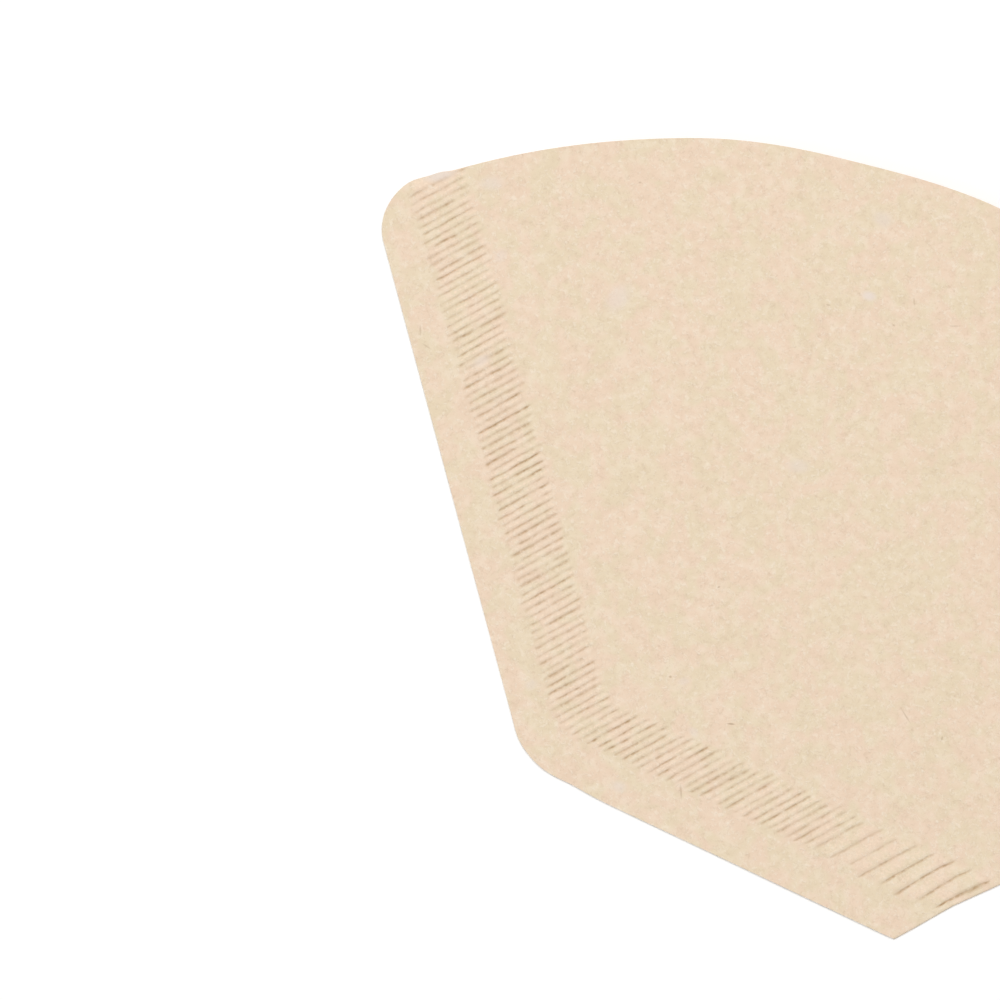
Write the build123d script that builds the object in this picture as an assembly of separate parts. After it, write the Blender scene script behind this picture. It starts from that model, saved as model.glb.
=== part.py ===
from build123d import *
import math
import os

# A flat-folded paper coffee filter, lying as it comes out of its pack.
# The seamed side is at -X, the folded side at +X and the mouth at +Y, with the back ply underneath.

# Outline of the folded sheet
bottom_width = 57.5  # between the sharp bottom corners
mouth_width = 165.0  # between the sharp mouth corners
side_rise = 63.15  # height of the mouth corners above the bottom edge
mouth_radius = 111.5  # of the arc that the mouth edge is cut to
mouth_corner_radius = 7.0  # where the seamed side meets the mouth
bottom_corner_radius = 13.0  # where the seamed side meets the bottom
fold_set_in = 0.7  # the folded side lies this far inside the mirror of the seamed side

# Paper and pocket
paper_thickness = 0.2
ply_gap = 0.06  # between the two plies where they lie on each other
mouth_opening = 2.5  # how far the mouth stands open at its middle
pocket_start = 0.6  # from the seam to where the front ply begins to rise

# Crimped seam along the side and the bottom
side_margin = 5.95  # free lip outside the side seam
side_seam = 7.85  # width of the side seam
bottom_margin = 6.8  # free lip outside the bottom seam
bottom_seam = 6.55  # width of the bottom seam
seam_outer_radius = 6.7  # corner of the seam, on its outer border
seam_inner_radius = 3.5  # corner of the seam, on its inner border
furrow_angle = 54.3  # direction of every furrow, from +X
fine_pitch = 1.09  # between furrows over most of the seam
coarse_pitch = 2.24  # between furrows beside the fold
coarse_ridges = 7  # ridges with the coarse pitch
corner_furrow = 0.96  # from the fold's bottom corner to the nearest furrow, across the furrows
hollow_depth = 0.12  # of the hollows that the ridges leave on the back
furrow_depth = 0.19  # of the furrows that are pressed into the front

# Worked out from the sizes above
side_angle = math.atan2(side_rise, (mouth_width - bottom_width) / 2)
mouth_centre = side_rise - math.sqrt(mouth_radius**2 - (mouth_width / 2) ** 2)
crown = mouth_centre + mouth_radius
stack_height = 2 * paper_thickness + ply_gap
ridge_height = 2 * paper_thickness + hollow_depth
fold_radius = stack_height / 2
fold_foot = bottom_width / 2 - fold_set_in / math.sin(side_angle)
reach = mouth_width + crown  # longer than the sheet in any direction
overrun = 1.0  # how far a shape runs past what trims it
furrow_lean = math.radians(furrow_angle)
seam_inset = side_margin + side_seam
seam_top = bottom_margin + bottom_seam
pocket_foot = seam_top + pocket_start


def seam_side_x(inset, height):
    """X of the line that lies the inset inside the seamed side, at a height above the bottom edge."""
    return -bottom_width / 2 + (inset - height * math.cos(side_angle)) / math.sin(side_angle)


def fold_side_x(inset, height):
    """X of the line that lies the inset inside the folded side, at a height above the bottom edge."""
    return fold_foot - (inset - height * math.cos(side_angle)) / math.sin(side_angle)


def blank():
    """The cut outline with its seamed side, bottom and mouth, and open past the fold."""
    wedge = Polygon(
        (seam_side_x(0, 0), 0),
        (reach, 0),
        (reach, reach),
        (seam_side_x(0, reach), reach),
        align=None,
    )
    sheet = wedge & Pos(0, mouth_centre) * Circle(mouth_radius)
    mouth_corner = sheet.vertices().sort_by_distance((-mouth_width / 2, side_rise))[0]
    sheet = fillet(mouth_corner, mouth_corner_radius)
    bottom_corner = sheet.vertices().sort_by_distance((-bottom_width / 2, 0))[0]
    return fillet(bottom_corner, bottom_corner_radius)


def inside_of(side_inset, bottom_inset, corner_radius):
    """All that lies further in than a border beside the seamed side and the bottom."""
    wedge = Polygon(
        (seam_side_x(side_inset, bottom_inset), bottom_inset),
        (reach, bottom_inset),
        (reach, reach),
        (seam_side_x(side_inset, reach), reach),
        align=None,
    )
    corner = wedge.vertices().sort_by_distance((seam_side_x(side_inset, bottom_inset), bottom_inset))[0]
    return fillet(corner, corner_radius)


def short_of_fold(inset):
    """All that lies on the seamed side's side of a line beside the fold."""
    far_left = seam_side_x(0, reach)
    return Polygon(
        (fold_side_x(inset, -reach), -reach),
        (fold_side_x(inset, reach), reach),
        (far_left, reach),
        (far_left, -reach),
        align=None,
    )


def seam_strip():
    """The strip that the crimping wheels press, run on past the mouth and the fold."""
    outer = inside_of(side_margin, bottom_margin, seam_outer_radius)
    inner = inside_of(seam_inset, seam_top, seam_inner_radius)
    return outer - inner


def pocket_area():
    """Where the plies part: a straight-sided field between the seam and the fold."""
    field = Polygon(
        (seam_side_x(seam_inset + pocket_start, pocket_foot), pocket_foot),
        (fold_side_x(fold_radius, pocket_foot), pocket_foot),
        (fold_side_x(fold_radius, reach), reach),
        (seam_side_x(seam_inset + pocket_start, reach), reach),
        align=None,
    )
    return field & blank()


def upright_block(area):
    """A block over an area that reaches from below the sheet to above it, to trim with."""
    return Pos(0, 0, -overrun) * extrude(area, ridge_height + 2 * mouth_opening + 2 * overrun)


def flat_plies():
    """The two plies where they lie flat on each other: the free lips and a strip inside the seam."""
    area = (blank() & short_of_fold(fold_radius)) - seam_strip() - pocket_area()
    back_ply = extrude(area, paper_thickness)
    front_ply = Pos(0, 0, paper_thickness + ply_gap) * extrude(area, paper_thickness)
    return back_ply + front_ply


def pocket_section(height, floor, wall_top, bulge):
    """An upright section across the sheet, with a flat floor and a roof that bulges at its middle."""
    left = seam_side_x(seam_inset + pocket_start, height)
    right = fold_side_x(fold_radius, height)
    frame = Polyline((left, wall_top), (left, floor), (right, floor), (right, wall_top))
    if bulge > 0:
        roof = ThreePointArc((right, wall_top), ((left + right) / 2, wall_top + bulge), (left, wall_top))
    else:
        roof = Line((right, wall_top), (left, wall_top))
    upright = Plane(origin=(0, height, 0), x_dir=(1, 0, 0), z_dir=(0, -1, 0))
    return upright * make_face([*frame.edges(), roof.edge()])


def pocket_body(floor, wall_top):
    """The space between the seam and the fold, flat at the bottom seam and arched at the mouth."""
    far_end = crown + overrun
    bulge = (mouth_opening - ply_gap) * (far_end - pocket_foot) / (crown - pocket_foot)
    sections = [
        pocket_section(pocket_foot, floor, wall_top, 0),
        pocket_section(far_end, floor, wall_top, bulge),
    ]
    return loft(sections, ruled=True)


def pocket():
    """Back and front ply between the seam and the fold, parted towards the mouth."""
    walls = pocket_body(0, stack_height) - pocket_body(paper_thickness, paper_thickness + ply_gap)
    return walls & upright_block(blank())


def fold_edge():
    """The sheet turned back on itself, with the plies held apart by their gap."""
    across = Plane(
        origin=(fold_side_x(fold_radius, 0), 0, fold_radius),
        x_dir=(math.sin(side_angle), -math.cos(side_angle), 0),
        z_dir=(-math.cos(side_angle), -math.sin(side_angle), 0),
    )
    turn = Circle(fold_radius) - Circle(ply_gap / 2)
    outward = Pos(stack_height, 0) * Rectangle(2 * stack_height, 2 * stack_height)
    strip = extrude(across * (turn & outward), reach, both=True)
    return (strip & upright_block(blank())) - upright_block(seam_strip())


def furrow_places():
    """Where the furrows lie across their own direction, from beyond the fold to beyond the mouth."""

    def across(x, y):
        return x * math.sin(furrow_lean) - y * math.cos(furrow_lean)

    nearest = across(bottom_width / 2, 0) - corner_furrow
    furthest_out = max(across(fold_side_x(0, height), height) for height in (bottom_margin, seam_top))
    spare = math.ceil((furthest_out - nearest) / coarse_pitch)
    places = [nearest + step * coarse_pitch for step in range(spare, -coarse_ridges - 1, -1)]
    last = across(-mouth_width / 2, side_rise)
    while places[-1] > last:
        places.append(places[-1] - fine_pitch)
    return places


def crimped_seam():
    """Both plies pressed into one ridged strip, with furrows on the front and hollows on the back."""
    floor = ridge_height - furrow_depth
    places = furrow_places()
    front = []
    back = []
    for start, end in zip(places, places[1:]):
        middle = (start + end) / 2
        front.append(ThreePointArc((start, floor), (middle, ridge_height), (end, floor)))
        back.append(ThreePointArc((start, 0), (middle, hollow_depth), (end, 0)))
    ends = [Line((place, 0), (place, floor)) for place in (places[0], places[-1])]
    along = Plane(
        origin=(0, 0, 0),
        x_dir=(math.sin(furrow_lean), -math.cos(furrow_lean), 0),
        z_dir=(-math.cos(furrow_lean), -math.sin(furrow_lean), 0),
    )
    profile = along * make_face([line.edge() for line in front + back + ends])
    area = seam_strip() & blank() & short_of_fold(0)
    return extrude(profile, reach, both=True) & upright_block(area)


def filter_paper():
    sheet = flat_plies() + pocket() + fold_edge() + crimped_seam()
    box = sheet.bounding_box()
    return Pos(-box.center().X, -box.center().Y, -box.min.Z) * sheet


os.makedirs("parts", exist_ok=True)
sheet = filter_paper()
print(f"filter_paper: {len(sheet.solids())} solid, {sheet.volume:.1f} mm3")
export_step(sheet, "parts/filter_paper.step")
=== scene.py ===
import math
import random

import bmesh
import bpy
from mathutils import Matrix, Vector, noise


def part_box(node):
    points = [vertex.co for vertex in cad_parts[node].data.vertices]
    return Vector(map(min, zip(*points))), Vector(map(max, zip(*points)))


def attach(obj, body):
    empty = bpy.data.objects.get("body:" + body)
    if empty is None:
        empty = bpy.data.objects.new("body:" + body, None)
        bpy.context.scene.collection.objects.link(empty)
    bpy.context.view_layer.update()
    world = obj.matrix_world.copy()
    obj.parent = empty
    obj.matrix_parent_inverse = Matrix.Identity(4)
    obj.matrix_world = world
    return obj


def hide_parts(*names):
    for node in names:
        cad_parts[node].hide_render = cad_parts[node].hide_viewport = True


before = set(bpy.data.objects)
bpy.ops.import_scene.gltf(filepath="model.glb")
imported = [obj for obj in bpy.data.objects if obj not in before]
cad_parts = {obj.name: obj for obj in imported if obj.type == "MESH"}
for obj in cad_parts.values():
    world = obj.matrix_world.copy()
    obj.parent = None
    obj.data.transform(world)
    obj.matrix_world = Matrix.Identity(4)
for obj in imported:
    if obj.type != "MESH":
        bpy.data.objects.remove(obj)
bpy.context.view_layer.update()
nodeLow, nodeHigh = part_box("filter_paper")
mm = 0.001
print("frame loaded:", ", ".join(sorted(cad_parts)))


# The folded sheet, in millimetres from the middle of its bottom edge
sheet = {
    "bottomWidth": 57.5,  # between the sharp corners
    "mouthWidth": 165.0,
    "sideRise": 63.15,
    "mouthRadius": 111.5,
    "mouthCornerRadius": 7.0,
    "bottomCornerRadius": 13.0,
    "foldSetIn": 0.7,
    "paper": 0.2,  # thickness
    "plyGap": 0.06,
    "mouthOpening": 2.5,
    "pocketStart": 0.6,  # from the seam to where the front ply begins to rise
    "pocketEase": 2.2,  # the lower, the softer it rises
    "waveScale": 0.028,  # of the slow waves that both plies share
    "waveHeight": 0.12,
    "flare": 1.2,  # how far the fold's foot spreads
    "flareReach": 10.2,  # up the fold
    "flareWidth": 9.0,  # away from the fold
    "fieldCell": 2.2,  # mesh size away from the seam
    "fieldAcross": (-170, 0),  # how far the cells run, from the fold's foot
    "fieldAlong": (-70, 120),
    "edgeStep": 1.2,  # length of a straight piece of the mouth edge
    "mouthCuts": 17,  # straight pieces of the mouth edge over the strip
    "cornerCuts": 14,  # and of the rounded mouth corner
    "foldSteps": 4,
    "sharpAngle": 50,  # an edge that turns more than this stays sharp
}

# Where the cut outline strays from its true shape: a place on it, how far it moves there and how
# far around that reaches
strays = [
    ((-78.3, 68.1), (-0.18, 0.38), 3.2),
    ((-75.4, 70.5), (-0.08, 0.2), 1.3),
    ((-41.0, 92.1), (-0.08, 0.2), 9.0),
    ((-21.5, 97.4), (0.05, -0.25), 8.0),
    ((-4.0, 99.9), (0.0, 0.14), 6.0),
    ((-22.5, 0.2), (0.0, 0.34), 3.6),
    ((-30.9, 2.7), (-0.1, -0.05), 2.0),
    ((28.9, -0.1), (-0.02, 0.17), 1.3),
]

# The crimped seam, in millimetres
seam = {
    "sideMargin": 5.95,
    "sideWidth": 7.85,
    "bottomMargin": 6.8,
    "bottomWidth": 6.55,
    "outerRadius": 6.7,
    "innerRadius": 3.5,
    "angle": 54.3,  # of the furrows, from +X
    "finePitch": 1.0907,
    "fineCount": 100,
    "pairShift": 0.035,  # every second furrow lies this much nearer to the one before
    "coarsePitch": 2.24,
    "coarseRidges": 7,
    "cornerFurrow": 0.96,  # from the fold's bottom corner to the last furrow
    "ridgeRise": 0.06,  # of the ridges above the flat paper
    "furrowDepth": 0.19,
    "hollowDepth": 0.1,  # on the back, under the ridges
    "crestRise": 0.5,  # how soon a ridge's top begins beside its furrow
    "bandTone": 0.055,  # the whole seam's colour is a little darker
    "bandStart": 0.8,  # outside the seam's borders
    "bandFade": 1.4,
    "runOut": 1.2,  # past the seam's borders, where the mesh is still fine
}

# How near counts as touching, in millimetres
touching = {"cut": 1e-5, "height": 1e-4, "fold": 1e-3, "weld": 0.002, "arc": 0.02, "border": 0.05}

halfMouth = sheet["mouthWidth"] / 2
sideAngle = math.atan2(sheet["sideRise"], halfMouth - sheet["bottomWidth"] / 2)
mouthCentreY = sheet["sideRise"] - math.sqrt(sheet["mouthRadius"] ** 2 - halfMouth**2)
mouthCentre = Vector((0, mouthCentreY, 0))
crownY = mouthCentreY + sheet["mouthRadius"]
stack = 2 * sheet["paper"] + sheet["plyGap"]
foldRadius = stack / 2
lean = math.radians(seam["angle"])
acrossDir = Vector((math.sin(lean), -math.cos(lean), 0))
alongDir = Vector((math.cos(lean), math.sin(lean), 0))
seamInward = Vector((math.sin(sideAngle), math.cos(sideAngle), 0))
seamDir = Vector((-math.cos(sideAngle), math.sin(sideAngle), 0))
foldOutward = Vector((math.sin(sideAngle), -math.cos(sideAngle), 0))
foldDir = Vector((math.cos(sideAngle), math.sin(sideAngle), 0))
seamFoot = Vector((-sheet["bottomWidth"] / 2, 0, 0))
foldFoot = Vector((sheet["bottomWidth"] / 2 - sheet["foldSetIn"] / math.sin(sideAngle), 0, 0))
foldLine = foldFoot - foldOutward * foldRadius  # where the flat plies end and the fold's turn begins

# The seam's borders: how far in from the side and from the bottom, and the corner's radius
innerSide = seam["sideMargin"] + seam["sideWidth"]
innerBottom = seam["bottomMargin"] + seam["bottomWidth"]
outerBorder = (seam["sideMargin"], seam["bottomMargin"], seam["outerRadius"])
innerBorder = (innerSide, innerBottom, seam["innerRadius"])


def mix(low, high, part):
    return low + (high - low) * part


def smooth(value):
    value = min(max(value, 0.0), 1.0)
    return value * value * (3 - 2 * value)


def facing(angle):
    return Vector((math.cos(angle), math.sin(angle), 0))


def seamCorner(sideInset, bottomInset):  # where two lines inside the seamed side and the bottom cross
    x = seamFoot.x + (sideInset - bottomInset * math.cos(sideAngle)) / math.sin(sideAngle)
    return Vector((x, bottomInset, 0))


def borderEntry(across, sideInset, bottomInset, radius):  # how far along a furrow a border lies
    centre = seamCorner(sideInset + radius, bottomInset + radius)
    sideTouch = (centre - seamInward * radius).dot(acrossDir)
    bottomTouch = (centre - Vector((0, radius, 0))).dot(acrossDir)
    if across >= bottomTouch:
        return (bottomInset + across * math.cos(lean)) / math.sin(lean)
    if across <= sideTouch:
        start = acrossDir * across - seamFoot
        return (sideInset - start.dot(seamInward)) / alongDir.dot(seamInward)
    return centre.dot(alongDir) - math.sqrt(radius**2 - (across - centre.dot(acrossDir)) ** 2)


def lineToMouth(start, direction, inward=0):  # where a line meets the mouth's arc, or one inside it
    reach = start - mouthCentre
    half = reach.dot(direction)
    radius = sheet["mouthRadius"] - inward
    return start + direction * (-half + math.sqrt(half**2 - reach.length_squared + radius**2))


def pastFold(vert):  # how far a vertex lies beyond the line where the fold's turn begins
    return (vert.co - foldLine).dot(foldOutward)


foldHead = lineToMouth(foldFoot, foldDir)
# The middle of the bottom edge, in the part's own frame
origin = Vector((nodeHigh.x / mm - foldHead.x, nodeLow.y / mm, nodeLow.z / mm))


# How the furrows differ. They are numbered from the mouth to the fold
furrowLook = {
    "seed": 7,
    "strengths": (0.62, 1.08),
    "secondStrength": 0.84,  # every second furrow is fainter
    "outerEnds": (-0.42, -0.05),  # past the outer border
    "innerEnds": (-0.95, 0.0),  # past the inner border
    "widths": (0.13, 0.2),
    "turns": (-0.012, 0.012),
    "crest": 0.16,  # how much paler the ridges' tops are painted, as painted highlight
    "faint": {"before": 18, "after": 88, "strength": 0.86},
    "early": {"before": 19, "by": 0.25},  # these start further out
    "sideLonger": {"before": 62, "over": 10, "by": 0.3},  # these reach further in
    "bottomLonger": {"after": 66, "over": 25, "by": 0.5},
    "outerFade": 0.4,  # length over which a furrow runs out, at the outer and the inner border
    "innerFade": 0.9,
    "broken": 1.75,  # how unevenly deep a furrow is along its length
    "middle": 0.94,
    "limits": (0.05, 1.2),
    "slow": {"scale": 0.5, "part": 0.7},
    "quick": {"scale": 1.2, "part": 0.5},
    "waver": 0.1,  # sideways
    "waverScale": (0.5, 0.9),  # along a furrow and from one to the next
    "hookReach": 1.8,
    "bendStart": 2.0,  # outside the outer border
}


def furrowPlaces():  # where the furrows lie across their own direction
    foldCorner = Vector((sheet["bottomWidth"] / 2, 0, 0)).dot(acrossDir) - seam["cornerFurrow"]
    places = [foldCorner - step * seam["coarsePitch"] for step in range(seam["coarseRidges"] + 1)]
    lastCoarse = places[-1]
    for step in range(1, seam["fineCount"]):
        shift = seam["pairShift"] if step % 2 else -seam["pairShift"]
        places.append(lastCoarse - step * seam["finePitch"] + shift)
    return places[::-1]


furrows = furrowPlaces()
dice = random.Random(furrowLook["seed"])


def furrowMark(number):  # how one furrow differs from the next
    early, faint = furrowLook["early"], furrowLook["faint"]
    side, bottom = furrowLook["sideLonger"], furrowLook["bottomLonger"]
    second = furrowLook["secondStrength"]
    longer = side["by"] * smooth((side["before"] - number) / side["over"])
    longer += bottom["by"] * smooth((number - bottom["after"]) / bottom["over"])
    mark = {
        "strength": dice.uniform(*furrowLook["strengths"]) * (1.0 if number % 2 else second),
        "ends": (
            dice.uniform(*furrowLook["outerEnds"]) - (early["by"] if number < early["before"] else 0),
            dice.uniform(*furrowLook["innerEnds"]) + longer,
        ),
        "drift": dice.uniform(0, 100),  # where it reads the noise that breaks it
        "width": dice.uniform(*furrowLook["widths"]),
        "belly": 0.0,  # how much wider it is towards its inner end
        "broken": furrowLook["broken"],
        "shift": 0.0,
        "turn": dice.uniform(*furrowLook["turns"]),
        "hook": 0.0,
        # how strongly its furrow is painted darker, partly pressed fibre and partly painted shade
        "tint": 1.0,
        "crest": furrowLook["crest"],
    }
    if number < faint["before"] or number > faint["after"]:
        mark["strength"] *= faint["strength"]
    return mark


furrowMarks = [furrowMark(number) for number in range(len(furrows))]

# The furrows beside the mouth: how far each starts and ends past the seam's borders
mouthEnds = [(-0.8, 0.0), (-0.7, -0.3), (-0.5, -0.4), (-0.45, -0.5), (-0.4, -0.5), (-0.4, -0.4)]
for mark, ends in zip(furrowMarks, mouthEnds):
    mark["ends"] = ends

# The coarse furrows, up to the fold: the same, with how far each lies aside and how deep it is
coarseMarks = [
    ((-0.4, 0.1), 0.15, 0.65),
    ((-0.1, -0.05), 0.15, 0.58),
    ((0.15, -0.4), 0.1, 0.5),
    ((-1.2, 0.0), 0.0, 0.78),
    ((-0.4, -0.05), 0.0, 0.95),
    ((-1.1, 0.4), -0.12, 0.95),
    ((-0.4, 0.2), -0.06, 0.9),
    ((-0.1, 0.06), 0.18, 1.2),
]
# The coarse furrows are less unevenly deep, and their ridges' tops get less painted highlight
coarseLook = {"broken": 0.9, "crest": 0.12}
coarseHooks = (0.0, 0.2)
for mark, (ends, shift, strength) in zip(furrowMarks[-len(coarseMarks):], coarseMarks):
    mark.update(coarseLook, ends=ends, shift=shift, strength=strength)
    mark["hook"] = dice.uniform(*coarseHooks)

# The last one, beside the fold, wider towards its inner end and painted a little darker, partly
# pressed fibre and partly painted shade
foldFurrow = {"width": 0.13, "belly": 0.16, "broken": 0.2, "turn": 0.07, "hook": 0.0, "tint": 1.1}
furrowMarks[-1].update(foldFurrow)


# The lines of the strip's mesh, in millimetres
stripMesh = {
    "besideFurrow": (0.12, 0.26),
    "beyondMouth": (3.2, 2.4, 1.6, 1.0, 0.55, 0.26, 0.12),
    "coarseFrom": 1.6,  # a ridge wider than this gets two more lines
    "coarseColumn": 0.27,  # at this part of its width
    "besideBorder": (-0.75, -0.35, 0.0, 0.35, 0.75),
    "cornerShrink": 0.8,  # of a border's radius, for each millimetre inwards
    "lipRows": 4,
    "seamRows": 12,
}


def stripColumns():  # across positions of the fine mesh's lines, each with its nearest furrow
    close, wide = stripMesh["besideFurrow"]
    columns = [(furrows[0] - gap, 0) for gap in stripMesh["beyondMouth"]]
    ends = furrows + [furrows[-1] + seam["coarsePitch"]]
    for number, (left, right) in enumerate(zip(ends, ends[1:])):
        nextOne = min(number + 1, len(furrows) - 1)
        middle = (left + right) / 2
        columns += [(left, number), (left + close, number), (left + wide, number)]
        if right - left > stripMesh["coarseFrom"]:  # over a coarse ridge
            columns.append((mix(left, right, stripMesh["coarseColumn"]), number))
            columns.append((middle, number))
            columns.append((mix(left, right, 1 - stripMesh["coarseColumn"]), nextOne))
        else:
            columns.append((middle, number))
        columns += [(right - wide, nextOne), (right - close, nextOne)]
    return columns


def stripRows():  # the mesh's lines along the seam, from the outline inwards, and which lie in it
    lip, across = stripMesh["lipRows"], stripMesh["seamRows"]
    outline = Vector((0, 0, sheet["bottomCornerRadius"]))
    outer = Vector(outerBorder)
    inner = Vector(innerBorder)
    step = Vector((1, 1, -stripMesh["cornerShrink"]))
    gaps = (-seam["runOut"], *stripMesh["besideBorder"])
    start = outer + step * gaps[0]
    rows = [(outline.lerp(start, part / lip), False) for part in range(lip)]
    rows += [(outer + step * gap, gap >= 0) for gap in gaps]
    first = outer + step * gaps[-1]
    last = inner - step * gaps[-1]
    rows += [(first.lerp(last, part / across), True) for part in range(1, across)]
    rows += [(inner - step * gap, gap >= 0) for gap in reversed(gaps)]
    return rows


def swellNoise(mark, along, look, level):
    return look["part"] * noise.noise(Vector((along * look["scale"], mark["drift"], level)))


def furrowShade(mark, along, outerEnd, innerEnd):  # how deep a furrow is at a place along it
    start = (along - outerEnd - mark["ends"][0]) / furrowLook["outerFade"]
    stop = (innerEnd + mark["ends"][1] - along) / furrowLook["innerFade"]
    change = swellNoise(mark, along, furrowLook["slow"], 0)
    change += swellNoise(mark, along, furrowLook["quick"], 5)
    least, most = furrowLook["limits"]
    swell = min(max(furrowLook["middle"] + mark["broken"] * change, least), most)
    return mark["strength"] * smooth(start + 0.5) * smooth(stop + 0.5) * swell


def furrowBend(number, along, outerEnd, innerEnd):  # and how far it strays sideways there
    mark = furrowMarks[number]
    alongScale, acrossScale = furrowLook["waverScale"]
    spot = Vector((along * alongScale, furrows[number] * acrossScale, 9.0))
    bend = furrowLook["waver"] * noise.noise(spot)
    bend += mark["shift"] + mark["turn"] * (along - (outerEnd + innerEnd) / 2)
    hookReach = furrowLook["hookReach"]
    bend += mark["hook"] * smooth((along - innerEnd + hookReach) / hookReach)
    begun = smooth((along - outerEnd + furrowLook["bendStart"]) / furrowLook["bendStart"])
    left = smooth((innerEnd + seam["runOut"] - along) / seam["runOut"])
    return bend * begun * left


def makeStrip(bm, layers):  # the seam with its lip, from a grid that is bent into place
    columns = stripColumns()
    rows = stripRows()
    made = bmesh.ops.create_grid(bm, x_segments=len(columns) - 1, y_segments=len(rows) - 1, size=1)
    for vert in made["verts"]:
        across, number = columns[round((vert.co.x + 1) / 2 * (len(columns) - 1))]
        border, inSeam = rows[round((vert.co.y + 1) / 2 * (len(rows) - 1))]
        mark = furrowMarks[number]
        along = borderEntry(across, *border)
        outerEnd = borderEntry(across, *outerBorder)
        innerEnd = borderEntry(across, *innerBorder)
        part = min(max((along - outerEnd) / (innerEnd - outerEnd), 0), 1)
        width = mark["width"] + mark["belly"] * math.sin(math.pi * part * part)
        off = (across - furrows[number]) / width
        groove = math.exp(-off * off) * furrowShade(mark, along, outerEnd, innerEnd)
        band = smooth((along - outerEnd + seam["bandStart"]) / seam["bandFade"])
        band *= smooth((innerEnd + seam["bandStart"] - along) / seam["bandFade"])
        crest = 1 - math.exp(-((off * seam["crestRise"]) ** 2))
        vert[layers["front"]] = band * seam["ridgeRise"] - groove * seam["furrowDepth"]
        vert[layers["back"]] = band * crest * seam["hollowDepth"]
        # The colour's value: the furrows painted darker, partly pressed fibre and partly painted
        # shade, the whole seam a little darker, and the ridges' tops painted paler as painted
        # highlight
        tone = seam["bandTone"] - mark["crest"] * crest
        vert[layers["press"]] = groove * mark["tint"] + band * tone
        vert[layers["seam"]] = float(inSeam)
        across += furrowBend(number, along, outerEnd, innerEnd)
        vert.co = acrossDir * across + alongDir * along


def cutAway(bm, point, normal):  # all that lies past a line
    bmesh.ops.bisect_plane(
        bm,
        geom=bm.verts[:] + bm.edges[:] + bm.faces[:],
        dist=touching["cut"],
        plane_co=point,
        plane_no=normal,
        clear_outer=True,
    )


def trimStrip(bm):
    cutAway(bm, foldLine, foldOutward)
    radius = sheet["mouthCornerRadius"]
    centre = lineToMouth(seamFoot + seamInward * radius, seamDir, radius)
    reach = centre - mouthCentre
    arcEnd = math.atan2(reach.y, reach.x)
    sideEnd = math.atan2(-seamInward.y, -seamInward.x) % (2 * math.pi)
    for step in range(sheet["cornerCuts"] + 1):  # the rounded corner
        normal = facing(mix(arcEnd, sideEnd, step / sheet["cornerCuts"]))
        cutAway(bm, centre + normal * radius, normal)
    stepAngle = sheet["edgeStep"] / sheet["mouthRadius"]
    for step in range(1, sheet["mouthCuts"] + 1):  # the mouth's arc over the strip
        normal = facing(arcEnd - step * stepAngle)
        cutAway(bm, mouthCentre + normal * sheet["mouthRadius"], normal)


def onArc(vert):
    return abs((vert.co - mouthCentre).length - sheet["mouthRadius"]) < touching["arc"]


def onInside(vert):  # on the strip's inner side
    side = (vert.co - seamFoot).dot(seamInward)
    past = seam["runOut"] - touching["border"]
    return side > innerSide + past and vert.co.y > innerBottom + past


def onFold(vert):
    return abs(pastFold(vert)) <= touching["fold"]


def inBorder(edge):  # open towards the field, and neither on the fold nor on the mouth
    if not edge.is_boundary or not all(map(onInside, edge.verts)):
        return False
    return not all(map(onFold, edge.verts)) and not all(map(onArc, edge.verts))


def makeField(bm):  # the rest of the ply, inside the strip, as one face
    border = [edge for edge in bm.edges if inBorder(edge)]
    ends = [vert for edge in border for vert in edge.verts]
    tips = [vert for vert in ends if sum(edge in border for edge in vert.link_edges) == 1]
    mouthTip = max(tips, key=lambda vert: vert.co.y)
    foldTip = min(tips, key=lambda vert: abs(pastFold(vert)))
    head = bm.verts.new(lineToMouth(foldLine, foldDir))
    first = head.co - mouthCentre
    last = mouthTip.co - mouthCentre
    angle = math.atan2(last.y, last.x) - math.atan2(first.y, first.x)
    steps = round(angle * sheet["mouthRadius"] / sheet["edgeStep"])
    spun = bmesh.ops.spin(bm, geom=[head], cent=mouthCentre, axis=(0, 0, 1), angle=angle, steps=steps)
    bmesh.ops.pointmerge(bm, verts=spun["geom_last"] + [mouthTip], merge_co=mouthTip.co)
    bm.edges.new((head, foldTip))
    loop = [edge for edge in bm.edges if not edge.link_faces]
    loop += [edge for edge in border if edge.is_valid]
    return bmesh.ops.contextual_create(bm, geom=loop)["faces"]


def crosses(face, point, direction):
    sides = [(vert.co - point).dot(direction) for vert in face.verts]
    return min(sides) < -touching["height"] and max(sides) > touching["height"]


def gridField(bm, faces):  # cuts the field into cells along and across the fold
    field = set(faces)
    for direction, span in ((foldOutward, sheet["fieldAcross"]), (foldDir, sheet["fieldAlong"])):
        count = round((span[1] - span[0]) / sheet["fieldCell"])
        for step in range(1, count):
            point = foldLine + direction * mix(*span, step / count)
            crossed = [face for face in field if face.is_valid and crosses(face, point, direction)]
            geometry = set(crossed)
            for face in crossed:
                geometry.update(face.edges)
                geometry.update(face.verts)
            if not geometry:
                continue
            cut = bmesh.ops.bisect_plane(
                bm, geom=list(geometry), dist=touching["height"], plane_co=point, plane_no=direction
            )
            field.update(item for item in cut["geom"] if isinstance(item, bmesh.types.BMFace))
            for item in cut["geom_cut"]:
                if isinstance(item, bmesh.types.BMEdge):
                    field.update(item.link_faces)


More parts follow.
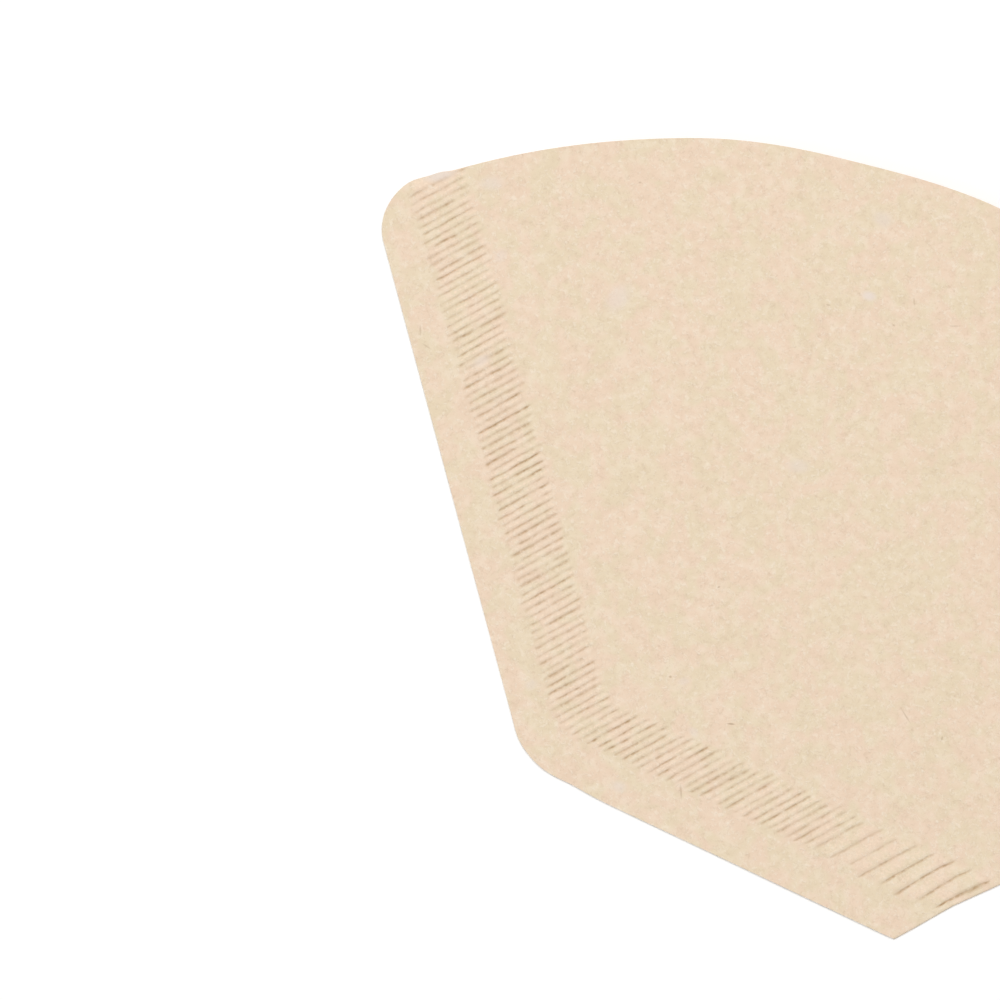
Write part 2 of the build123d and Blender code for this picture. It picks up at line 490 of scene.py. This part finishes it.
def pocketLift(point):  # how far the front ply stands off the back one
    start = innerBottom + sheet["pocketStart"]
    up = (point.y - start) / (crownY - start)
    if up <= 0:
        return 0.0
    left = seamCorner(innerSide + sheet["pocketStart"], point.y).x
    right = foldLine.x + point.y / math.tan(sideAngle)
    side = (point.x - left) / (right - left)
    if side <= 0 or side >= 1:
        return 0.0
    arch = 4 * side * (1 - side)
    return (sheet["mouthOpening"] - sheet["plyGap"]) * up * arch * smooth(arch * sheet["pocketEase"])


def undulation(point):  # slow waves that both plies share
    scale = sheet["waveScale"]
    return sheet["waveHeight"] * (1 + noise.noise(Vector((point.x * scale, point.y * scale, 3.1))))


def footFlare(point):  # how far the fold's foot spreads towards +X
    up = (point - foldLine).dot(foldDir) / sheet["flareReach"]
    inset = -(point - foldLine).dot(foldOutward) / sheet["flareWidth"]
    return sheet["flare"] * min(max(1 - up, 0), 1) * (1 - smooth(inset))


def outlineStray(point):
    moved = Vector((0, 0, 0))
    for place, move, reach in strays:
        away = (point.xy - Vector(place)).length / reach
        moved += Vector(move).to_3d() * math.exp(-away * away)
    return moved


def copySheet(bm, faces, height, turned):
    made = bmesh.ops.duplicate(bm, geom=faces)["geom"]
    verts = [item for item in made if isinstance(item, bmesh.types.BMVert)]
    made = [item for item in made if isinstance(item, bmesh.types.BMFace)]
    bmesh.ops.translate(bm, verts=verts, vec=(0, 0, height))
    if turned:
        bmesh.ops.reverse_faces(bm, faces=made)
    return made


def openEdges(bm, height, wantFold):  # open edges at one height, on the fold's line or off it
    found = []
    for edge in bm.edges:
        level = all(abs(vert.co.z - height) < touching["height"] for vert in edge.verts)
        fold = all(abs(pastFold(vert)) < touching["weld"] for vert in edge.verts)
        if edge.is_boundary and level and fold == wantFold:
            found.append(edge)
    return found


def dropWall(bm, height, lower):  # closes the open edges at one height down to the sheet below
    walls = bmesh.ops.extrude_edge_only(bm, edges=openEdges(bm, height, False))["geom"]
    verts = [item for item in walls if isinstance(item, bmesh.types.BMVert)]
    bmesh.ops.translate(bm, verts=verts, vec=(0, 0, lower - height))
    bmesh.ops.remove_doubles(bm, verts=bm.verts[:], dist=touching["weld"])


def turnFold(bm, height):  # the half turn of the sheet, from one ply to the other
    bmesh.ops.spin(
        bm,
        geom=openEdges(bm, height, True),
        cent=foldLine + Vector((0, 0, foldRadius)),
        axis=foldDir,
        angle=math.pi,
        steps=sheet["foldSteps"],
    )


def trimFold(bm):  # the turn's two ends are cut with the bottom edge and with the mouth
    head = lineToMouth(foldLine, foldDir)
    reach = (head - foldLine).dot(foldDir)
    mouthNormal = (head - mouthCentre).normalized()
    for vert in bm.verts:
        if pastFold(vert) < touching["fold"]:
            continue
        up = (vert.co - foldLine).dot(foldDir)
        if up < touching["fold"]:
            vert.co -= foldDir * (vert.co.y / foldDir.y)
        elif up > reach - touching["fold"]:
            vert.co -= foldDir * ((vert.co - head).dot(mouthNormal) / foldDir.dot(mouthNormal))


def makePly(bm, layers):  # one ply, flat and without its thickness
    makeStrip(bm, layers)
    trimStrip(bm)
    print("seam strip:", len(bm.faces), "faces")
    gridField(bm, makeField(bm))
    print("one ply:", len(bm.faces), "faces")


def foldPlies(bm, layers):  # both plies with their thickness, joined at the fold and through the seam
    heights = [0, sheet["paper"], sheet["paper"] + sheet["plyGap"], stack]
    backOuter = bm.faces[:]
    inner = copySheet(bm, backOuter, heights[1], False) + copySheet(bm, backOuter, heights[2], True)
    copySheet(bm, backOuter, heights[3], False)
    bmesh.ops.reverse_faces(bm, faces=backOuter)
    # Wholly inside the seam the plies are pressed into one, and have no faces between them
    pressed = [face for face in inner if all(vert[layers["seam"]] > 0.999 for vert in face.verts)]
    bmesh.ops.delete(bm, geom=pressed, context="FACES")
    for vert in bm.verts:  # inside, the plies are smooth
        if touching["fold"] < vert.co.z < stack - touching["fold"]:
            vert[layers["front"]] = vert[layers["back"]] = 0
    for height, lower in zip(heights[:0:-1], heights[-2::-1]):
        dropWall(bm, height, lower)
    turnFold(bm, heights[3])
    turnFold(bm, heights[2])
    bmesh.ops.remove_doubles(bm, verts=bm.verts[:], dist=touching["weld"])
    trimFold(bm)
    bmesh.ops.holes_fill(bm, edges=[edge for edge in bm.edges if edge.is_boundary], sides=0)
    left = sum(not edge.is_manifold for edge in bm.edges)
    print("folded:", len(bm.faces), "faces,", left, "open edges")


def shapePaper(bm, layers):  # the seam's relief, the open mouth, the waves and the outline's strays
    for vert in bm.verts:
        level = min(max(vert.co.z / stack, 0), 1)
        relief = mix(vert[layers["back"]], vert[layers["front"]], level)
        lift = pocketLift(vert.co) if level > 0.5 else 0
        shift = outlineStray(vert.co)
        shift.x += footFlare(vert.co)
        shift.z = undulation(vert.co) + relief + lift
        vert.co += shift
    bmesh.ops.recalc_face_normals(bm, faces=bm.faces[:])


def makeFilter():
    bm = bmesh.new()
    layers = {name: bm.verts.layers.float.new(name) for name in ("front", "back", "press", "seam")}
    makePly(bm, layers)
    foldPlies(bm, layers)
    shapePaper(bm, layers)
    lowest = min(vert.co.z for vert in bm.verts)
    bmesh.ops.translate(bm, verts=bm.verts[:], vec=origin - Vector((0, 0, lowest)))
    bmesh.ops.scale(bm, verts=bm.verts[:], vec=(mm, mm, mm))
    for face in bm.faces:
        face.smooth = True
    for edge in bm.edges:
        edge.smooth = edge.calc_face_angle(0) < math.radians(sheet["sharpAngle"])
    mesh = bpy.data.meshes.new("filter_sheet")
    bm.to_mesh(mesh)
    bm.free()
    print("filter sheet:", sum(len(face.vertices) - 2 for face in mesh.polygons), "triangles")
    piece = bpy.data.objects.new("filter_sheet", mesh)
    bpy.context.scene.collection.objects.link(piece)
    return piece


# Shader arithmetic: a wire is a node's output that Python's operators can work on
class Wire:
    def __init__(self, shader, socket):
        self.shader = shader
        self.socket = socket

    def calc(self, operation, first, second=0.0):
        return self.shader.add("ShaderNodeMath", {"operation": operation}, {0: first, 1: second})

    def __add__(self, other):
        return self.calc("ADD", self, other)

    def __radd__(self, other):
        return self.calc("ADD", other, self)

    def __sub__(self, other):
        return self.calc("SUBTRACT", self, other)

    def __rsub__(self, other):
        return self.calc("SUBTRACT", other, self)

    def __mul__(self, other):
        return self.calc("MULTIPLY", self, other)

    def __rmul__(self, other):
        return self.calc("MULTIPLY", other, self)

    def __abs__(self):
        return self.calc("ABSOLUTE", self)


class Shader:
    def __init__(self, tree):
        self.tree = tree

    def add(self, kind, settings=None, sockets=None, output=0):
        node = self.tree.nodes.new(kind)
        for name, value in (settings or {}).items():
            setattr(node, name, value)
        for name, value in (sockets or {}).items():
            if isinstance(value, Wire):
                self.link(value, node, name)
            else:
                node.inputs[name].default_value = value
        return Wire(self, node.outputs[output])

    def link(self, wire, node, name):
        self.tree.links.new(wire.socket, node.inputs[name])

    def vector(self, operation, first, second):
        return self.add("ShaderNodeVectorMath", {"operation": operation}, {0: first, 1: second})

    def noise(self, place, scale, detail, distortion, offset):  # the offset keeps the noises apart
        moved = self.vector("ADD", place, (offset, offset * 1.7, offset * 0.4))
        sockets = {"Vector": moved, "Scale": scale, "Detail": detail, "Distortion": distortion}
        return self.add("ShaderNodeTexNoise", {}, sockets)

    def ramp(self, value, low, high):  # smooth step from 0 at low to 1 at high
        sockets = {"Value": value, "From Min": low, "From Max": high}
        return self.add("ShaderNodeMapRange", {"interpolation_type": "SMOOTHSTEP"}, sockets)

    def blend(self, factor, first, second):
        sockets = {0: factor, 6: first, 7: second}
        return self.add("ShaderNodeMix", {"data_type": "RGBA"}, sockets, output=2)


def newMaterial(name):
    material = bpy.data.materials.new(name)
    material.use_nodes = True
    tree = material.node_tree
    return material, Shader(tree), tree.nodes["Principled BSDF"]


paperLook = {
    "peach": (0.862, 0.674, 0.516, 1),
    "straw": (0.825, 0.689, 0.500, 1),
    "pale": (0.95, 0.83, 0.68, 1),
    "fibre": (0.62, 0.46, 0.32, 1),
    # Darker colour of the furrows, partly pressed fibre and partly painted shade
    "furrow": (0.5, 0.345, 0.2, 1),
    # Pale colour of the ridges' tops, a painted highlight
    "ridgeHighlight": (0.972, 0.77, 0.59, 1),
    "lilac": (0.838, 0.722, 0.64, 1),
    "speck": (0.42, 0.29, 0.18, 1),
    # Noises: scale for each millimetre, detail, distortion and offset
    "noises": {
        "patch": (0.28, 3.0, 0.4, 0.0),
        "cloud": (0.7, 3.0, 0.3, 71.0),
        "grain": (2.4, 1.5, 0.4, 8.0),
        "fleck": (1.7, 1.0, 0.6, 91.0),
        "broken": (1.7, 1.0, 0.0, 23.0),
        "sparkle": (3.0, 0.0, 0.3, 131.0),
    },
    # Fibres: scale, curl, offset, width and how sparse
    "fibres": {
        "darkFibre": (0.8, 0.9, 4.0, 0.05, 0.54),
        "shortFibre": (1.7, 0.6, 17.0, 0.08, 0.55),
        "lightFibre": (1.3, 1.1, 53.0, 0.08, 0.53),
    },
    "fibreBreaks": {"scale": 0.9, "offset": 31.0, "edge": 0.08},
    # Masks: a noise, with the values where it begins to show and where it is full
    "masks": {
        "strawPatch": ("patch", 0.38, 0.62),
        "paleCloud": ("cloud", 0.45, 0.72),
        "darkCloud": ("cloud", 0.5, 0.25),
        "darkGrain": ("grain", 0.5, 0.85),
        "paleFleck": ("fleck", 0.62, 0.69),
        "darkFleck": ("fleck", 0.37, 0.31),
        "ridgeSparkle": ("sparkle", 0.56, 0.68),
    },
    # Colours over the peach, in their order: how strong the masks are, and the colour
    "layers": [
        ({"strawPatch": 1.0}, "straw"),
        ({"paleCloud": 0.3}, "pale"),
        ({"darkCloud": 0.12}, "fibre"),
        ({"lightFibre": 0.45}, "pale"),
        ({"darkFibre": 0.22, "shortFibre": 0.2}, "fibre"),
        ({"darkGrain": 0.1}, "fibre"),
        ({"paleFleck": 0.42}, "pale"),
        ({"darkFleck": 0.16}, "fibre"),
    ],
    "brokenGain": (2.1, -0.05),  # how unevenly the furrows' painted darkening and the ridges' painted highlights are spread; the furrows' darkening is partly pressed fibre and partly painted shade
    # how strongly the furrows are painted darker, partly pressed fibre and partly painted shade
    "furrowTone": 0.58,
    # Painted highlights on the ridges' tops: where they show, how they break up, how strong they are,
    # and their sparkles
    "ridgeRange": (0.0, 0.3),
    "gleamRange": (0.4, 1.6),
    "gleam": 2.0,
    "topRange": (0.02, 0.09),
    "sparkle": 0.7,
    "spotRange": (0.0, 0.8),
    "roughness": 0.92,
    "specular": 0.25,
    "bump": {
        "grain": 0.3,
        "paleFleck": 0.6,
        "lightFibre": 0.4,
        "shortFibre": -0.3,
        "darkFibre": -0.3,
    },
    "bumpDepth": 0.05,  # in millimetres
    "bumpStrength": 0.8,
}

# Dark fibres and specks of bark in the front ply: place, direction, length and width, how strong
specks = [
    {"place": (-4.9, 17.7), "turn": 20, "size": (1.5, 0.36), "strength": 0.7},
    {"place": (-14.74, 34.47), "turn": 60, "size": (0.7, 0.4), "strength": 0.45},
    {"place": (-8.19, 78.46), "turn": 0, "size": (0.6, 0.4), "strength": 0.4},
    {"place": (-49.23, 81.40), "turn": 30, "size": (0.6, 0.4), "strength": 0.4},
    {"place": (-15.51, 20.06), "turn": 10, "size": (0.6, 0.45), "strength": 0.5},
    {"place": (-17.8, 77.1), "turn": 10, "size": (0.9, 0.4), "strength": 0.35},
    {"place": (-7.0, 82.7), "turn": -60, "size": (1.8, 0.36), "strength": 0.3},
    {"place": (-0.4, 82.0), "turn": 25, "size": (2.2, 0.34), "strength": 0.3},
    {"place": (22.94, 28.59), "turn": -75, "size": (0.9, 0.36), "strength": 0.5},
    {"place": (16.9, 29.3), "turn": -32, "size": (3.6, 0.36), "strength": 0.35},
    {"place": (-68.4, 49.3), "turn": -62, "size": (2.2, 0.4), "strength": 0.35},
    {"place": (-66.6, 47.6), "turn": -8, "size": (2.0, 0.34), "strength": 0.3},
    {"place": (-7.2, 6.0), "turn": -60, "size": (3.0, 0.4), "strength": 0.35},
]

# Pale clumps of lilac-grey fibre
clumps = [
    {"place": (-13.1, 80.7), "turn": 10, "size": (2.9, 2.0), "strength": 0.9},
    {"place": (-45.0, 65.3), "turn": 80, "size": (6.5, 4.2), "strength": 0.5},
    {"place": (-11.9, 54.7), "turn": 20, "size": (4.6, 3.0), "strength": 0.5},
    {"place": (-58.7, 49.1), "turn": 54, "size": (4.0, 2.0), "strength": 0.5},
    {"place": (-15.45, 2.9), "turn": 0, "size": (3.2, 2.4), "strength": 0.5},
    {"place": (-13.5, 20.3), "turn": 30, "size": (2.4, 1.6), "strength": 0.45},
    {"place": (-9.2, 14.4), "turn": -20, "size": (2.6, 1.6), "strength": 0.45},
    {"place": (-32.8, 10.7), "turn": 50, "size": (2.8, 2.0), "strength": 0.4},
    {"place": (-62.6, 63.7), "turn": 70, "size": (3.0, 2.2), "strength": 0.4},
    {"place": (-16.0, 91.3), "turn": 0, "size": (4.2, 3.2), "strength": 0.5},
    {"place": (-75.3, 70.2), "turn": 38, "size": (6.4, 2.2), "strength": 0.75},
    {"place": (-68.1, 72.4), "turn": 30, "size": (4.6, 3.0), "strength": 0.5},
]


def makeFibres(shader, place, scale, curl, offset, width, sparse):  # thin curls, broken into pieces
    breaks = paperLook["fibreBreaks"]
    swirl = shader.noise(place, scale, 1.0, curl, offset)
    line = 1 - shader.ramp(abs(swirl - 0.5), 0.0, width)
    parts = shader.noise(place, scale * breaks["scale"], 1.0, 0.0, offset + breaks["offset"])
    return line * shader.ramp(parts, sparse, sparse + breaks["edge"])


def spotMask(shader, place, spot):  # a soft ellipse on the front ply
    centre = Vector(spot["place"]).to_3d()
    centre.z = stack + undulation(centre) + pocketLift(centre)
    sockets = {
        "Vector": place,
        "Location": centre + origin,
        "Rotation": (0, 0, math.radians(spot["turn"])),
        "Scale": (spot["size"][0] / 2, spot["size"][1] / 2, 1.0),
    }
    local = shader.add("ShaderNodeMapping", {"vector_type": "TEXTURE"}, sockets)
    settings = {"gradient_type": "SPHERICAL"}
    ball = shader.add("ShaderNodeTexGradient", settings, {"Vector": local}, output="Fac")
    return shader.ramp(ball, *paperLook["spotRange"]) * spot["strength"]


def weighted(wires, weights):  # some of the wires added up, each times its weight
    return sum(wires[name] * weight for name, weight in weights.items())


def makePaper():
    material, shader, surface = newMaterial("filter_paper")
    coord = shader.add("ShaderNodeTexCoord", output="Object")
    place = shader.vector("MULTIPLY", coord, (1 / mm, 1 / mm, 1 / mm))
    wires = {}
    for name, look in paperLook["noises"].items():
        wires[name] = shader.noise(place, *look)
    for name, look in paperLook["fibres"].items():
        wires[name] = makeFibres(shader, place, *look)
    for name, (source, low, high) in paperLook["masks"].items():
        wires[name] = shader.ramp(wires[source], low, high)
    color = paperLook["peach"]
    for weights, over in paperLook["layers"]:
        color = shader.blend(weighted(wires, weights), color, paperLook[over])

    # The seam's colour: the furrows painted darker, partly pressed fibre and partly painted shade,
    # and the ridges' tops painted paler with sparkles, as painted highlight
    press = shader.add("ShaderNodeAttribute", {"attribute_name": "press"}, output="Fac")
    gain, offset = paperLook["brokenGain"]
    broken = wires["broken"] * gain + offset
    raised = 0 - press  # the ridges' tops have a negative value, for their painted highlight
    gleam = shader.ramp(broken, *paperLook["gleamRange"]) * paperLook["gleam"]
    ridgeHighlight = shader.ramp(raised, *paperLook["ridgeRange"])
    color = shader.blend(ridgeHighlight * gleam, color, paperLook["ridgeHighlight"])
    # painted highlight sparkles on the ridges' tops
    top = shader.ramp(raised, *paperLook["topRange"]) * paperLook["sparkle"]
    color = shader.blend(top * wires["ridgeSparkle"], color, paperLook["ridgeHighlight"])
    # the furrows' darkening, partly pressed fibre and partly painted shade
    pressed = press.calc("MAXIMUM", press, 0.0)
    color = shader.blend(pressed * broken * paperLook["furrowTone"], color, paperLook["furrow"])
    for spots, over in ((specks, "speck"), (clumps, "lilac")):
        for spot in spots:
            color = shader.blend(spotMask(shader, place, spot), color, paperLook[over])
    shader.link(color, surface, "Base Color")

    bump = {
        "Height": weighted(wires, paperLook["bump"]),
        "Distance": paperLook["bumpDepth"] * mm,
        "Strength": paperLook["bumpStrength"],
    }
    shader.link(shader.add("ShaderNodeBump", {}, bump), surface, "Normal")
    surface.inputs["Roughness"].default_value = paperLook["roughness"]
    surface.inputs["Specular IOR Level"].default_value = paperLook["specular"]
    return material


# Floor, light and camera
stageLook = {
    "floorSize": 8.0,
    "floorColor": (0.93, 0.93, 0.93, 1),
    "cameraGlow": 0.12,  # the floor looks white, and lights nothing
    "worldLight": 0.42,
    "lampPower": 15.6,
    "lampSize": 0.9,
    "lampPlace": (-0.25, 0.3, 1.5),
}


def makeFloor():
    bm = bmesh.new()
    bmesh.ops.create_grid(bm, x_segments=1, y_segments=1, size=stageLook["floorSize"] / 2)
    mesh = bpy.data.meshes.new("floor")
    bm.to_mesh(mesh)
    bm.free()
    floor = bpy.data.objects.new("floor", mesh)
    bpy.context.scene.collection.objects.link(floor)
    material, shader, surface = newMaterial("floor_white")
    surface.inputs["Base Color"].default_value = stageLook["floorColor"]
    surface.inputs["Roughness"].default_value = 1.0
    surface.inputs["Specular IOR Level"].default_value = 0.0
    surface.inputs["Emission Color"].default_value = (1, 1, 1, 1)
    seen = shader.add("ShaderNodeLightPath", output="Is Camera Ray")
    glossy = shader.add("ShaderNodeLightPath", output="Is Glossy Ray")
    shader.link((seen + glossy) * stageLook["cameraGlow"], surface, "Emission Strength")
    mesh.materials.append(material)


def makeLight():
    world = bpy.data.worlds.new("studio")
    bpy.context.scene.world = world
    world.use_nodes = True
    shader = Shader(world.node_tree)
    background = world.node_tree.nodes["Background"]
    background.inputs["Color"].default_value = (1, 1, 1, 1)
    seen = shader.add("ShaderNodeLightPath", output="Is Camera Ray")
    glossy = shader.add("ShaderNodeLightPath", output="Is Glossy Ray")
    glass = shader.add("ShaderNodeLightPath", output="Is Transmission Ray")
    bright = (seen + glossy + glass) * (1 - stageLook["worldLight"]) + stageLook["worldLight"]
    shader.link(bright, background, "Strength")
    lamp = bpy.data.lights.new("soft_lamp", "AREA")
    lamp.energy = stageLook["lampPower"]
    lamp.size = stageLook["lampSize"]
    holder = bpy.data.objects.new("soft_lamp", lamp)
    place = Vector(stageLook["lampPlace"])
    holder.location = place
    holder.rotation_euler = (-place).to_track_quat("-Z", "Y").to_euler()
    bpy.context.scene.collection.objects.link(holder)


# The photograph looks straight down; its frame is 141 mm wide and turned against the sheet
view = {
    "frameWidth": 141.43,
    "middle": (-47.956, 32.389, 0),  # from the middle of the bottom edge
    "turn": 25.27,
    "height": 2.0,
    "sensor": 36,
    "farthest": 50,
}


def makeCamera():
    camera = bpy.data.cameras.new("camera")
    holder = bpy.data.objects.new("camera", camera)
    bpy.context.scene.collection.objects.link(holder)
    camera.sensor_width = view["sensor"]
    camera.lens = view["sensor"] * view["height"] / (view["frameWidth"] * mm)
    camera.clip_end = view["farthest"]
    holder.location = (origin + Vector(view["middle"])) * mm + Vector((0, 0, view["height"]))
    holder.rotation_euler = (0, 0, math.radians(view["turn"]))
    bpy.context.scene.camera = holder


filterSheet = makeFilter()
filterSheet.data.materials.append(makePaper())
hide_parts("filter_paper")
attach(filterSheet, "root")
makeFloor()
makeLight()
makeCamera()
bpy.context.scene.view_settings.view_transform = "Standard"
print("stage, light and camera set")
